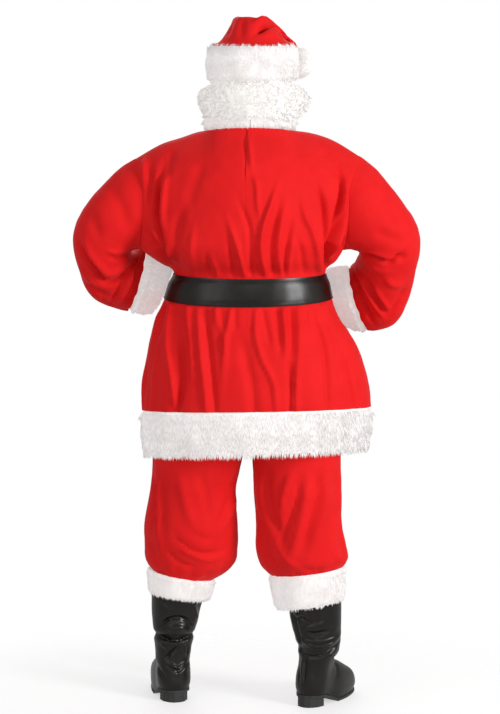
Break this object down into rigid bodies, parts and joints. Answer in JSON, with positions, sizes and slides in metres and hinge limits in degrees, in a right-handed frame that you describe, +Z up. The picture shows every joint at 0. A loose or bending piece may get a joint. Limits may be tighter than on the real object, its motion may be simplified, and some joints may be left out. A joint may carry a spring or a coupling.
{
  "type": "santa suit",
  "caption": "Red velour suit with white fur trim, curly wig, hat, belt and tall boots, hollow and open, in the pose in which it is worn, hands on the hips.",
  "frame": {"origin": "centre of the neck opening, level with the top of the back at the collar seam", "axes": "+Z up, +Y to the wearer's front, +X to the wearer's right hand"},
  "size_m": [0.9349, 0.4872, 1.861],
  "materials": {
    "red_cloth": "matt velour with a soft sheen",
    "white_fur": "white plush fur",
    "white_curls": "white curled wig fibre",
    "black_vinyl": "black coated leather cloth, half gloss",
    "black_rubber": "matt black",
    "yellow_metal": "polished"
  },
  "bodies": {
    "root": {"jacket_back_left": "red_cloth", "jacket_back_right": "red_cloth", "jacket_front": "red_cloth", "sleeve_left": "red_cloth", "sleeve_right": "red_cloth", "hat_crown": "red_cloth", "waistband": "red_cloth", "trouser_leg_left": "red_cloth", "trouser_leg_right": "red_cloth", "hem_fur": "white_fur", "collar_fur": "white_fur", "cuff_fur_left": "white_fur", "cuff_fur_right": "white_fur", "hat_band": "white_fur", "hat_pompom": "white_fur", "leg_fur_left": "white_fur", "leg_fur_right": "white_fur", "wig_curls": "white_curls", "belt_strap": "black_vinyl", "boot_upper_left": "black_vinyl", "boot_upper_right": "black_vinyl", "boot_sole_left": "black_rubber", "boot_sole_right": "black_rubber", "boot_heel_left": "black_rubber", "boot_heel_right": "black_rubber", "belt_buckle": "yellow_metal", "belt_prong": "yellow_metal"}
  },
  "joints": []
}
